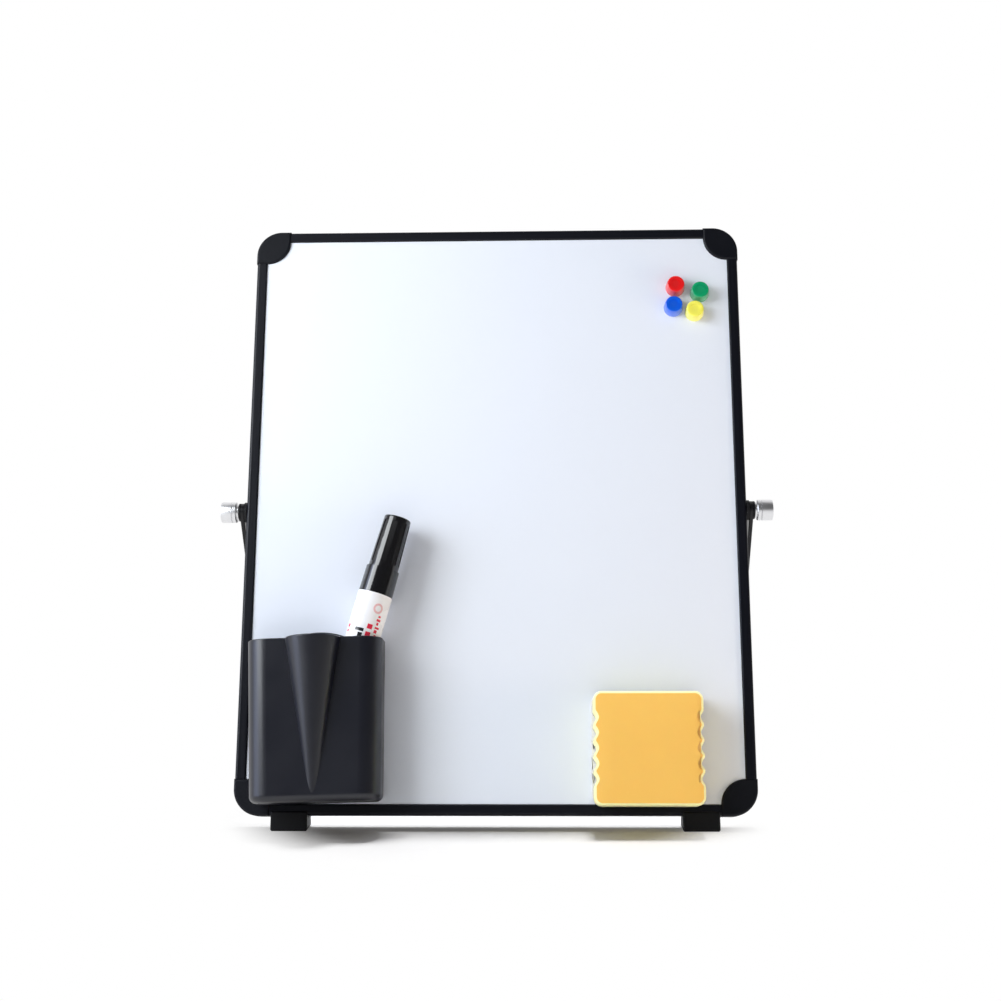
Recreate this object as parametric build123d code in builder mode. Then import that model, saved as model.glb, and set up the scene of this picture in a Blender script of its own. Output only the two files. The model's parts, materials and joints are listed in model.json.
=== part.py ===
"""Magnetic desk whiteboard easel: a framed double-sided board on a swinging stand.

Millimetres, +Z up, +X to the right of the writing side, which faces -Y.
The origin is the middle of the easel's footprint box, on the desk.
"""
import os
from math import cos, radians, sin, sqrt, tan

from build123d import *

os.makedirs("parts", exist_ok=True)

# ---------------------------------------------------------------- driving dimensions
# board and its aluminium frame
BOARD_W = 250.0
BOARD_H = 300.0
LEAN = 14.0               # degrees that the board leans back
FRAME_FACE = 5.4          # width of the frame seen from the front
FRAME_T = 10.0            # frame, front to back
LIP_T = 1.0               # frame lip over the sheet
RAIL_WALL = 0.8
RAIL_CHAMBER = 1.8        # hollow that takes the corner tongues and the pivot bolt's head
RAIL_ROUND = 1.5          # outer long edges of the rails
LIP_BEVEL = 0.7
SHEET_T = 0.4             # lacquered steel sheet

# corner caps
CAP_R = 12.5              # outer corner
CAP_LEG = 17.3            # along each side, from the corner
CAP_PROUD = 0.3           # how far a cap stands out of the rails
CAP_ROUND = 1.1
TONGUE_LEN = 9.0
TONGUE_FIT = 0.05         # each side

# front feet
FOOT_DROP = 6.0           # from the desk to the middle of the frame's underside
FOOT_W = 17.6
FOOT_GAP = 0.8            # between a foot and the corner cap beside it
FOOT_WALL = 0.9
FOOT_HOOK = 2.0           # how far the clip climbs over the rail
FOOT_TOE = 1.2            # base beyond the rail, front and back
FOOT_ROUND = 0.8
FOOT_BEVEL = 0.6          # lower edges at the foot's ends

# stand: one flat bar bent to a U
LEG_ANGLE = 32.0          # degrees behind the vertical
BAR_W = 9.0
BAR_T = 2.0
BAR_BEND = 12.0           # outer radius
BAR_EDGE = 0.3
SLEEVE_WALL = 1.5
SLEEVE_LEN = 28.0
SLEEVE_INSET = 34.0       # from the arm to the sleeve's outer end

# pivots
BOLT_D = 4.0
BOLT_HEAD_T = 1.6
PIVOT_FIT = 0.06          # radial, bolt in the arm, the washers and the knob
SPACER_T = 1.5
SPACER_D = 10.0
WASHER_T = 0.8
WASHER_D = 9.0
KNOB_D = 10.4
KNOB_LEN = 9.0
KNOB_NECK_D = 8.0
KNOB_NECK_LEN = 1.2
KNOB_SEAM_AT = 3.0        # groove, from the knob's inner face
KNOB_SEAM_W = 0.4
KNOB_EDGE = 0.6
INSERT_D = 6.4
INSERT_LEN = 7.0
KNOB_FLOOR = 1.2          # metal left at the knob's outer end
BOLT_TIP = 0.5
BOLT_TIP_GAP = 0.4

# pen cup
CUP_IN = 41.3             # middle of the cup's foot, from the board's left edge
CUP_ABOVE_FRAME = 0.0     # from the lower rail to the cup's foot
CUP_TILT = 1.6            # degrees, as the magnets hold it
CUP_H = 76.8
CUP_W_FOOT = 62.0
CUP_W_RIM = 64.8
CUP_DEPTH = 25.0          # flanks, from the sheet
CUP_WALL = 1.3
CUP_FLOOR = 2.5
CUP_CORNER_FRONT = 10.0
CUP_CORNER_BACK = 3.0
CUP_FOOT_ROUND = 3.5
CUP_RIM_ROUND = 0.6
CONE_R_RIM = 13.5         # half-round bulge, widest at the rim
CONE_R_FOOT = 2.3
CONE_FOOT_AT = 4.0        # above the cup's foot
HUMP_W = 38.0             # raised middle of the back wall
HUMP_H = 5.5
CUP_MAGNET_W = 44.0
CUP_MAGNET_H = 12.0
CUP_MAGNET_T = 2.0
CUP_MAGNET_LOW = 24.0      # middle of each strip, above the cup's foot
CUP_MAGNET_HIGH = 58.0

# marker standing in the cup
MARKER_LEAN = 16.8        # degrees from the cup's upright
MARKER_GAP = 0.3          # to the cup's walls
BARREL_D = 16.8
BARREL_WALL = 1.2
BARREL_LEN = 97.5
PLUG_FLANGE = 2.0
PLUG_DEPTH = 8.0
PLUG_EDGE = 0.8
RESERVOIR_D = 13.6
NECK_DEPTH = 12.0         # inside the barrel
NECK_D = 12.4
NECK_LEN = 13.0
NOSE_D = 7.0
NOSE_LEN = 7.0
NIB_D = 5.0
NIB_OUT = 6.0
NIB_TIP_D = 2.5
NIB_TAPER = 1.7
MARKER_CAP_LEN = 39.5
CAP_D_BASE = 16.7
CAP_D_STEP = 16.3
CAP_D_UPPER = 14.8
CAP_D_TOP = 13.2
CAP_STEP_AT = 13.0
CAP_TOP_ROUND = 0.9
MARKER_CAP_FIT = 0.08     # radial, cap on the neck
NIB_ROOM = 1.0            # round the nose and nib, inside the cap
FLUTES = 8
FLUTE_W = 2.8
FLUTE_DEPTH = 0.5
FLUTE_MARGIN = 2.5        # plain band at each end of the fluted part

# eraser
ERASER_IN = 52.0          # its middle, from the board's right edge
ERASER_W = 51.9
ERASER_H = 53.2
ERASER_ABOVE_FRAME = -1.4  # the foam's lower edge overlaps the rail's face
ERASER_CORNER = 4.0
ERASER_EDGE = 1.2
FELT_T = 3.0
FELT_H = 50.8             # shorter than the foam, to clear the rail
ERASER_MAGNET_T = 1.0
FOAM_T = 14.0
FELT_SHIFT_X = -0.8       # the felt is glued on slightly askew
FELT_RAISE = 0.7
WAVES = 5                 # notches in each side
WAVE_PITCH = 7.2
WAVE_DEPTH = 1.5

# round magnets: name, place in from the board's right edge and down from its top
MAGNET_PLACES = (
    ("red", 32.5, 32.6),
    ("green", 20.1, 35.8),
    ("blue", 33.7, 43.6),
    ("yellow", 23.0, 46.2),
)
MAGNET_D = 9.8
MAGNET_FACE_D = 8.6
MAGNET_H = 6.0
MAGNET_EDGE = 0.6
DISH_D = 5.0
DISH_DEPTH = 0.35
DISC_D = 7.0
DISC_T = 2.0

# ---------------------------------------------------------------- derived places
CORE_T = FRAME_T - 2 * LIP_T - 2 * SHEET_T
SHEET_AT = FRAME_T / 2 - LIP_T                      # writing surface, from the mid-plane
PANEL_IN = 2 * RAIL_WALL + RAIL_CHAMBER             # panel edge, from the frame's outside
PANEL_W = BOARD_W - 2 * PANEL_IN
PANEL_H = BOARD_H - 2 * PANEL_IN
PANEL_R = CAP_R - PANEL_IN
PIVOT_Z = FOOT_DROP + BOARD_H / 2 * cos(radians(LEAN))

# the stand's sleeve rests on the desk, so its section and angle set the leg's length
SLEEVE_R = BAR_T / 2 + SLEEVE_WALL
SLEEVE_HALF = BAR_W / 2 + SLEEVE_WALL - SLEEVE_R    # straight half of its flat sides
CROSSBAR_Z = SLEEVE_HALF * sin(radians(LEG_ANGLE)) + SLEEVE_R
LEG_LEN = (PIVOT_Z - CROSSBAR_Z) / cos(radians(LEG_ANGLE))

# depth of the whole easel about the pivot: the pen cup's foot to the stand's sleeves
CUP_Y = -BOARD_H / 2 + FRAME_FACE + CUP_ABOVE_FRAME
CUP_FRONT_DROP = (CUP_W_FOOT / 2 - CUP_CORNER_FRONT) * sin(radians(CUP_TILT))
FRONT_REACH = (
    (SHEET_AT + CUP_DEPTH - CUP_FOOT_ROUND) * cos(radians(LEAN))
    - (CUP_Y - CUP_FRONT_DROP + CUP_FOOT_ROUND) * sin(radians(LEAN))
    + CUP_FOOT_ROUND
)
BACK_REACH = (
    LEG_LEN * sin(radians(LEG_ANGLE)) + SLEEVE_HALF * cos(radians(LEG_ANGLE)) + SLEEVE_R
)
PIVOT_Y = (FRONT_REACH - BACK_REACH) / 2
PIVOT = Vector(0, PIVOT_Y, PIVOT_Z)

# planes: the board's mid-plane faces the writer, the leg's plane holds the U
BOARD = Plane(PIVOT, x_dir=(1, 0, 0), z_dir=(0, -cos(radians(LEAN)), sin(radians(LEAN))))
LEG = Plane(PIVOT, x_dir=(1, 0, 0), z_dir=(0, -cos(radians(LEG_ANGLE)), -sin(radians(LEG_ANGLE))))

SIDES = (("left", -1), ("right", 1))


def finish(piece, label):
    """Label a finished piece and write it out."""
    piece.label = label
    export_step(piece, f"parts/{label}.step")


def across(plane, height):
    """Plane square to the given one at a height up it: same X, its Y out of the face."""
    origin = plane.from_local_coords((0, height, 0))
    return Plane(origin, x_dir=plane.x_dir, z_dir=-plane.y_dir)


def on(plane, x, y, out=0.0, turn=(0, 0, 0)):
    """Plane at a place on another one, turned in degrees about that plane's own axes."""
    return Plane(plane.location * Location((x, y, out), turn))


# ---------------------------------------------------------------- board panel
def panel_layer(label, start, thickness):
    with BuildPart() as layer:
        with BuildSketch(BOARD.offset(start)):
            RectangleRounded(PANEL_W, PANEL_H, PANEL_R)
        extrude(amount=thickness)
    finish(layer.part, label)


panel_layer("writing_sheet_front", CORE_T / 2, SHEET_T)
panel_layer("board_core", -CORE_T / 2, CORE_T)
panel_layer("writing_sheet_back", -CORE_T / 2 - SHEET_T, SHEET_T)


# ---------------------------------------------------------------- frame rails
def frame_rail(label, plane, length, bolt_hole=False):
    """Channel extrusion: X of the plane runs inwards from the frame's outside."""
    with BuildPart() as rail:
        with BuildSketch(plane) as section:
            with Locations((FRAME_FACE / 2, 0)):
                Rectangle(FRAME_FACE, FRAME_T)
            fillet(section.vertices().group_by(Axis.X)[0], RAIL_ROUND)
            chamfer(section.vertices().group_by(Axis.X)[-1], LIP_BEVEL)
            with Locations(((PANEL_IN + FRAME_FACE) / 2, 0)):
                Rectangle(FRAME_FACE - PANEL_IN, 2 * SHEET_AT, mode=Mode.SUBTRACT)
            with Locations((RAIL_WALL + RAIL_CHAMBER / 2, 0)):
                Rectangle(RAIL_CHAMBER, 2 * SHEET_AT, mode=Mode.SUBTRACT)
        extrude(amount=length)
        if bolt_hole:
            outer_side = Plane(PIVOT, BOARD.y_dir, -plane.x_dir).offset(BOARD_W / 2)
            with BuildSketch(outer_side):
                Circle(BOLT_D / 2 + PIVOT_FIT)
            extrude(amount=-RAIL_WALL, mode=Mode.SUBTRACT)
    finish(rail.part, label)


RAIL_LEN_X = BOARD_W - 2 * CAP_LEG
RAIL_LEN_Y = BOARD_H - 2 * CAP_LEG
for name, side in (("bottom", -1), ("top", 1)):
    start = BOARD.from_local_coords((-RAIL_LEN_X / 2, side * BOARD_H / 2, 0))
    frame_rail(f"frame_rail_{name}", Plane(start, BOARD.y_dir * -side, BOARD.x_dir), RAIL_LEN_X)
for name, side in SIDES:
    start = BOARD.from_local_coords((side * BOARD_W / 2, -RAIL_LEN_Y / 2, 0))
    plane = Plane(start, BOARD.x_dir * -side, BOARD.y_dir)
    frame_rail(f"frame_rail_{name}", plane, RAIL_LEN_Y, bolt_hole=True)


# ---------------------------------------------------------------- corner caps
def corner_cap(label, side_x, side_y):
    """Leaf-faced plastic corner with a tongue in each rail; u and v run inwards."""

    def at(u, v):
        return (side_x * (BOARD_W / 2 - u), side_y * (BOARD_H / 2 - v))

    outer_mid = CAP_R - (CAP_R + CAP_PROUD) / sqrt(2)
    inner_mid = FRAME_FACE + (CAP_LEG - FRAME_FACE) / sqrt(2)
    face_at = FRAME_T / 2 + CAP_PROUD
    tongue_mid = RAIL_WALL + RAIL_CHAMBER / 2
    tongue_w = RAIL_CHAMBER - 2 * TONGUE_FIT
    with BuildPart() as cap:
        with BuildSketch(BOARD.offset(-face_at)):
            with BuildLine():
                Line(at(CAP_LEG, -CAP_PROUD), at(CAP_R, -CAP_PROUD))
                ThreePointArc(at(CAP_R, -CAP_PROUD), at(outer_mid, outer_mid), at(-CAP_PROUD, CAP_R))
                Polyline(at(-CAP_PROUD, CAP_R), at(-CAP_PROUD, CAP_LEG), at(FRAME_FACE, CAP_LEG))
                ThreePointArc(at(FRAME_FACE, CAP_LEG), at(inner_mid, inner_mid), at(CAP_LEG, FRAME_FACE))
                Line(at(CAP_LEG, FRAME_FACE), at(CAP_LEG, -CAP_PROUD))
            make_face()
        extrude(amount=2 * face_at)
        faces = cap.faces().sort_by(Axis(PIVOT, BOARD.z_dir))
        fillet(faces[0].edges() + faces[-1].edges(), CAP_ROUND)
        with BuildSketch(BOARD.offset(-SHEET_AT)):
            RectangleRounded(PANEL_W, PANEL_H, PANEL_R)
        extrude(amount=2 * SHEET_AT, mode=Mode.SUBTRACT)
        with BuildSketch(BOARD.offset(TONGUE_FIT - SHEET_AT)):
            with Locations(at(CAP_LEG + TONGUE_LEN / 2, tongue_mid)):
                Rectangle(TONGUE_LEN, tongue_w)
            with Locations(at(tongue_mid, CAP_LEG + TONGUE_LEN / 2)):
                Rectangle(tongue_w, TONGUE_LEN)
        extrude(amount=2 * (SHEET_AT - TONGUE_FIT))
    finish(cap.part, label)


for level, side_y in (("bottom", -1), ("top", 1)):
    for name, side_x in SIDES:
        corner_cap(f"corner_cap_{level}_{name}", side_x, side_y)


# ---------------------------------------------------------------- front feet
def front_foot(label, inner_x):
    """Moulded clip round the lower rail, cut level where it stands on the desk."""
    under = BOARD.from_local_coords((0, -BOARD_H / 2, 0))
    hook = BOARD.from_local_coords((0, -BOARD_H / 2 + FOOT_HOOK, 0))
    half = FRAME_T / 2 + FOOT_WALL
    toe = half * cos(radians(LEAN)) + FOOT_TOE
    with BuildPart() as foot:
        with BuildSketch(Plane.YZ.offset(inner_x)) as side_view:
            with BuildLine():
                Polyline(
                    (under.Y - toe, 0),
                    (under.Y + toe, 0),
                    (hook.Y + half * cos(radians(LEAN)), hook.Z - half * sin(radians(LEAN))),
                    (hook.Y - half * cos(radians(LEAN)), hook.Z + half * sin(radians(LEAN))),
                    close=True,
                )
            make_face()
            fillet(side_view.vertices(), FOOT_ROUND)
            with Locations(Location((hook.Y, hook.Z), -LEAN)):
                Rectangle(FRAME_T, 2 * FOOT_HOOK, mode=Mode.SUBTRACT)
        extrude(amount=FOOT_W)
        ends = foot.faces().filter_by(Axis.X)
        chamfer(ends.edges().group_by(Axis.Z)[0], FOOT_BEVEL)
    finish(foot.part, label)


FOOT_OUTER_X = BOARD_W / 2 - CAP_LEG - FOOT_GAP
front_foot("front_foot_left", -FOOT_OUTER_X)
front_foot("front_foot_right", FOOT_OUTER_X - FOOT_W)


# ---------------------------------------------------------------- pivots
ARM_AT = BOARD_W / 2 + SPACER_T                     # inner face of an arm
WASHER_AT = ARM_AT + BAR_T
KNOB_AT = WASHER_AT + WASHER_T
BOLT_END = KNOB_AT + KNOB_LEN - KNOB_FLOOR - BOLT_TIP_GAP
PIVOTS = {name: Plane(PIVOT, BOARD.y_dir, (side, 0, 0)) for name, side in SIDES}


def washer(label, plane, outer_d, thickness):
    with BuildPart() as disc:
        with BuildSketch(plane):
            Circle(outer_d / 2)
            Circle(BOLT_D / 2 + PIVOT_FIT, mode=Mode.SUBTRACT)
        extrude(amount=thickness)
    finish(disc.part, label)


def pivot_bolt(label, plane):
    """Square head held in the rail's hollow; the shank carries the arm and the knob."""
    head_at = BOARD_W / 2 - RAIL_WALL - BOLT_HEAD_T
    head_w = 2 * (SHEET_AT - TONGUE_FIT)
    with BuildPart() as bolt:
        with BuildSketch(plane.offset(head_at)):
            Rectangle(head_w, head_w)
        extrude(amount=BOLT_HEAD_T)
        with BuildSketch(plane.offset(head_at)):
            Circle(BOLT_D / 2)
        extrude(amount=BOLT_END - head_at)
        chamfer(bolt.edges().sort_by(Axis(PIVOT, plane.z_dir))[-1], BOLT_TIP)
    finish(bolt.part, label)


def knob(label, plane):
    """Turned thumb nut: plain neck, grooved shoulder, smooth grip, chamfered end."""
    radius = KNOB_D / 2
    neck = KNOB_NECK_D / 2
    groove = radius - KNOB_SEAM_W
    grip_from = KNOB_SEAM_AT + KNOB_SEAM_W
    with BuildPart() as body:
        with BuildSketch(across(plane, 0)):
            with BuildLine():
                Polyline(
                    (0, KNOB_AT),
                    (neck, KNOB_AT),
                    (neck, KNOB_AT + KNOB_NECK_LEN),
                    (radius, KNOB_AT + KNOB_NECK_LEN),
                    (radius, KNOB_AT + KNOB_SEAM_AT),
                    (groove, KNOB_AT + KNOB_SEAM_AT),
                    (groove, KNOB_AT + grip_from),
                    (radius, KNOB_AT + grip_from),
                    (radius, KNOB_AT + KNOB_LEN - KNOB_EDGE),
                    (radius - KNOB_EDGE, KNOB_AT + KNOB_LEN),
                    (0, KNOB_AT + KNOB_LEN),
                    close=True,
                )
            make_face()
        revolve(axis=Axis(plane.origin, plane.z_dir))
        with BuildSketch(plane.offset(KNOB_AT)):
            Circle(INSERT_D / 2)
        extrude(amount=INSERT_LEN, mode=Mode.SUBTRACT)
        with BuildSketch(plane.offset(KNOB_AT)):
            Circle(BOLT_D / 2 + PIVOT_FIT)
        extrude(amount=KNOB_LEN - KNOB_FLOOR, mode=Mode.SUBTRACT)
    finish(body.part, label)


for name, plane in PIVOTS.items():
    pivot_bolt(f"pivot_bolt_{name}", plane)
    washer(f"pivot_spacer_{name}", plane.offset(BOARD_W / 2), SPACER_D, SPACER_T)
    washer(f"knob_washer_{name}", plane.offset(WASHER_AT), WASHER_D, WASHER_T)
    washer(f"knob_insert_{name}", plane.offset(KNOB_AT), INSERT_D, INSERT_LEN)
    knob(f"knob_{name}", plane)


# ---------------------------------------------------------------- stand
with BuildPart() as stand_bow:
    with BuildSketch(LEG.offset(-BAR_W / 2)) as outside:
        with Locations((0, -(LEG_LEN + BAR_T / 2) / 2)):
            Rectangle(2 * WASHER_AT, LEG_LEN + BAR_T / 2)
        fillet(outside.vertices().group_by(Axis.Y)[0], BAR_BEND)
    extrude(amount=BAR_W)
    with BuildSketch(LEG.offset(-BAR_W / 2)) as inside:
        with Locations((0, -(LEG_LEN - BAR_T / 2) / 2)):
            Rectangle(2 * ARM_AT, LEG_LEN - BAR_T / 2)
        fillet(inside.vertices().group_by(Axis.Y)[0], BAR_BEND - BAR_T)
    extrude(amount=BAR_W, mode=Mode.SUBTRACT)
    for pivot in PIVOTS.values():
        with BuildSketch(pivot.offset(ARM_AT)):
            Circle(BAR_W / 2)
        extrude(amount=BAR_T)
    chamfer(stand_bow.edges(), BAR_EDGE)
    for pivot in PIVOTS.values():
        with BuildSketch(pivot.offset(ARM_AT)):
            Circle(BOLT_D / 2 + PIVOT_FIT)
        extrude(amount=BAR_T, mode=Mode.SUBTRACT)
finish(stand_bow.part, "stand_bow")

CROSSBAR = Plane(LEG.from_local_coords((0, -LEG_LEN, 0)), x_dir=LEG.z_dir, z_dir=LEG.x_dir)


def stand_sleeve(label, start_x):
    """Rubber tube pushed over the crossbar, which is what stands on the desk."""
    with BuildPart() as sleeve:
        with BuildSketch(CROSSBAR.offset(start_x)):
            SlotOverall(BAR_W + 2 * SLEEVE_WALL, 2 * SLEEVE_R)
            Rectangle(BAR_W, BAR_T, mode=Mode.SUBTRACT)
        extrude(amount=SLEEVE_LEN)
    finish(sleeve.part, label)


stand_sleeve("stand_sleeve_left", -ARM_AT + SLEEVE_INSET)
stand_sleeve("stand_sleeve_right", ARM_AT - SLEEVE_INSET - SLEEVE_LEN)


# ---------------------------------------------------------------- pen cup
CUP = on(BOARD, CUP_IN - BOARD_W / 2, CUP_Y, SHEET_AT, turn=(0, 0, CUP_TILT))


def cup_outline(section, height, inset):
    """Flat-backed outline with round front corners, drawn in the given sketch."""
    width = CUP_W_FOOT + (CUP_W_RIM - CUP_W_FOOT) * height / CUP_H - 2 * inset
    back = CUP_MAGNET_T + inset
    front = CUP_DEPTH - inset
    with Locations((0, (back + front) / 2)):
        Rectangle(width, front - back)
    fillet(section.vertices().group_by(Axis.Y)[-1], CUP_CORNER_FRONT - inset)
    fillet(section.vertices().group_by(Axis.Y)[0], CUP_CORNER_BACK - inset)


def cone_profile(inset):
    """Half of the bulge's section, less a wall, from its foot to the rim."""
    foot = CONE_R_FOOT - inset
    rim = CONE_R_RIM - inset
    Polygon((0, CONE_FOOT_AT), (foot, CONE_FOOT_AT), (rim, CUP_H), (0, CUP_H), align=None)


CONE = on(CUP, 0, 0, CUP_DEPTH - CONE_R_FOOT)

with BuildPart() as pen_cup:
    for height in (0, CUP_H):
        with BuildSketch(across(CUP, height)) as section:
            cup_outline(section, height, 0)
    loft()
    levels = pen_cup.faces().sort_by(Axis(CUP.origin, CUP.y_dir))
    fillet(levels[0].edges(), CUP_FOOT_ROUND)
    levels = pen_cup.faces().sort_by(Axis(CUP.origin, CUP.y_dir))
    fillet(levels[-1].edges(), CUP_RIM_ROUND)
    with BuildSketch(CONE) as bulge:
        cone_profile(0)
        fillet(bulge.vertices().sort_by(Axis.X)[-1], CUP_RIM_ROUND)
    revolve(axis=Axis(CONE.origin, CONE.y_dir))
    with BuildSketch(CUP.offset(CUP_MAGNET_T)):
        with BuildLine():
            ThreePointArc((-HUMP_W / 2, CUP_H), (0, CUP_H + HUMP_H), (HUMP_W / 2, CUP_H))
            Line((HUMP_W / 2, CUP_H), (-HUMP_W / 2, CUP_H))
        make_face()
    extrude(amount=CUP_WALL)
    for height in (CUP_FLOOR, CUP_H):
        with BuildSketch(across(CUP, height)) as section:
            cup_outline(section, height, CUP_WALL)
    loft(mode=Mode.SUBTRACT)
    with BuildSketch(CONE):
        cone_profile(CUP_WALL)
    revolve(axis=Axis(CONE.origin, CONE.y_dir), mode=Mode.SUBTRACT)
finish(pen_cup.part, "pen_cup")

with BuildPart() as cup_magnets:
    with BuildSketch(CUP):
        with Locations((0, CUP_MAGNET_LOW), (0, CUP_MAGNET_HIGH)):
            Rectangle(CUP_MAGNET_W, CUP_MAGNET_H)
    extrude(amount=CUP_MAGNET_T)
finish(cup_magnets.part, "cup_magnets")


# ---------------------------------------------------------------- marker
LEAN_M = radians(MARKER_LEAN)
MARKER_FOOT = CUP_FLOOR + MARKER_GAP + BARREL_D / 2 * sin(LEAN_M)
MARKER_AT_RIM = CUP_W_RIM / 2 - CUP_WALL - MARKER_GAP - BARREL_D / 2 / cos(LEAN_M)
MARKER_X = MARKER_AT_RIM - (CUP_H - MARKER_FOOT) * tan(LEAN_M)
MARKER_OUT = CUP_MAGNET_T + CUP_WALL + MARKER_GAP + BARREL_D / 2
MARKER = on(CUP, MARKER_X, MARKER_FOOT, MARKER_OUT, turn=(0, 0, -MARKER_LEAN))
BARREL_BORE = BARREL_D / 2 - BARREL_WALL
NOSE_AT = BARREL_LEN + NECK_LEN
NIB_AT = NOSE_AT + NOSE_LEN


def turned(label, *profile):
    """A piece turned about the marker's axis, from points (radius, length along it)."""
    with BuildPart() as piece:
        with BuildSketch(MARKER):
            with BuildLine():
                Polyline(*profile, close=True)
            make_face()
        revolve(axis=Axis(MARKER.origin, MARKER.y_dir))
    finish(piece.part, label)


turned(
    "marker_barrel",
    (BARREL_BORE, PLUG_FLANGE),
    (BARREL_D / 2, PLUG_FLANGE),
    (BARREL_D / 2, BARREL_LEN),
    (BARREL_BORE, BARREL_LEN),
)
turned(
    "marker_end_plug",
    (0, 0),
    (BARREL_D / 2 - PLUG_EDGE, 0),
    (BARREL_D / 2, PLUG_EDGE),
    (BARREL_D / 2, PLUG_FLANGE),
    (BARREL_BORE, PLUG_FLANGE),
    (BARREL_BORE, PLUG_FLANGE + PLUG_DEPTH),
    (0, PLUG_FLANGE + PLUG_DEPTH),
)
turned(
    "marker_ink_reservoir",
    (0, PLUG_FLANGE + PLUG_DEPTH),
    (RESERVOIR_D / 2, PLUG_FLANGE + PLUG_DEPTH),
    (RESERVOIR_D / 2, BARREL_LEN - NECK_DEPTH),
    (0, BARREL_LEN - NECK_DEPTH),
)
turned(
    "marker_neck",
    (NIB_D / 2, BARREL_LEN - NECK_DEPTH),
    (BARREL_BORE, BARREL_LEN - NECK_DEPTH),
    (BARREL_BORE, BARREL_LEN),
    (NECK_D / 2, BARREL_LEN),
    (NECK_D / 2, NOSE_AT),
    (NOSE_D / 2, NIB_AT),
    (NIB_D / 2, NIB_AT),
)
turned(
    "marker_nib",
    (0, BARREL_LEN - NECK_DEPTH),
    (NIB_D / 2, BARREL_LEN - NECK_DEPTH),
    (NIB_D / 2, NIB_AT + NIB_OUT - NIB_TAPER),
    (NIB_TIP_D / 2, NIB_AT + NIB_OUT),
    (0, NIB_AT + NIB_OUT),
)

CAP_END = BARREL_LEN + MARKER_CAP_LEN
CAP_BORE = NECK_D / 2 + MARKER_CAP_FIT
FLUTE_FROM = BARREL_LEN + CAP_STEP_AT + FLUTE_MARGIN
FLUTE_TO = CAP_END - FLUTE_MARGIN

with BuildPart() as marker_cap:
    with BuildSketch(MARKER):
        with BuildLine():
            Polyline(
                (0, CAP_END),
                (0, NIB_AT + NIB_OUT + NIB_ROOM),
                (NOSE_D / 2 + NIB_ROOM, NIB_AT + NIB_OUT + NIB_ROOM),
                (NOSE_D / 2 + NIB_ROOM, NIB_AT),
                (CAP_BORE, NOSE_AT),
                (CAP_BORE, BARREL_LEN),
                (CAP_D_BASE / 2, BARREL_LEN),
                (CAP_D_STEP / 2, BARREL_LEN + CAP_STEP_AT),
                (CAP_D_UPPER / 2, BARREL_LEN + CAP_STEP_AT),
                (CAP_D_TOP / 2, CAP_END),
                close=True,
            )
        make_face()
    revolve(axis=Axis(MARKER.origin, MARKER.y_dir))
    fillet(marker_cap.edges().sort_by(Axis(MARKER.origin, MARKER.y_dir))[-1], CAP_TOP_ROUND)
    for turn in range(FLUTES):
        with BuildSketch(on(MARKER, 0, 0, turn=(0, 360 * turn / FLUTES, 0))):
            with BuildLine():
                Polyline(
                    (CAP_D_BASE / 2, FLUTE_FROM),
                    (CAP_D_UPPER / 2 - FLUTE_DEPTH, FLUTE_FROM),
                    (CAP_D_TOP / 2 - FLUTE_DEPTH, FLUTE_TO),
                    (CAP_D_BASE / 2, FLUTE_TO),
                    close=True,
                )
            make_face()
        extrude(amount=FLUTE_W / 2, both=True, mode=Mode.SUBTRACT)
finish(marker_cap.part, "marker_cap")


# ---------------------------------------------------------------- eraser
ERASER_Y = -BOARD_H / 2 + FRAME_FACE + ERASER_ABOVE_FRAME + ERASER_H / 2
ERASER = on(BOARD, BOARD_W / 2 - ERASER_IN, ERASER_Y, SHEET_AT)
FELT = on(ERASER, FELT_SHIFT_X, FELT_RAISE)


def eraser_outline(height):
    """Rounded square with scalloped sides, all tangent arcs."""
    half_w = ERASER_W / 2
    half_h = height / 2
    span = WAVES * WAVE_PITCH / 2
    with BuildLine() as outline:
        bottom = Line((0, -half_h), (half_w - ERASER_CORNER, -half_h))
        corner = TangentArc(bottom @ 1, (half_w, ERASER_CORNER - half_h), tangent=bottom % 1)
        edge = Line(corner @ 1, (half_w, -span))
        for turn in range(2 * WAVES):
            y = (2 * turn + 1) * WAVE_PITCH / 4 - span
            edge = TangentArc(edge @ 1, (half_w - WAVE_DEPTH / 2, y), tangent=edge % 1)
        edge = TangentArc(edge @ 1, (half_w, span), tangent=edge % 1)
        edge = Line(edge @ 1, (half_w, half_h - ERASER_CORNER))
        corner = TangentArc(edge @ 1, (half_w - ERASER_CORNER, half_h), tangent=edge % 1)
        Line(corner @ 1, (0, half_h))
        mirror(about=Plane.YZ)
    return outline.edges()


def eraser_layer(label, plane, height, thickness, edge=0.0):
    with BuildPart() as layer:
        with BuildSketch(plane):
            make_face(eraser_outline(height))
        extrude(amount=thickness)
        if edge:
            front = layer.faces().sort_by(Axis(plane.origin, plane.z_dir))[-1]
            fillet(front.edges(), edge)
    finish(layer.part, label)


eraser_layer("eraser_felt", FELT, FELT_H, FELT_T)
eraser_layer("eraser_magnet_sheet", ERASER.offset(FELT_T), ERASER_H, ERASER_MAGNET_T)
foam_at = ERASER.offset(FELT_T + ERASER_MAGNET_T)
eraser_layer("eraser_foam", foam_at, ERASER_H, FOAM_T, ERASER_EDGE)


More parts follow.
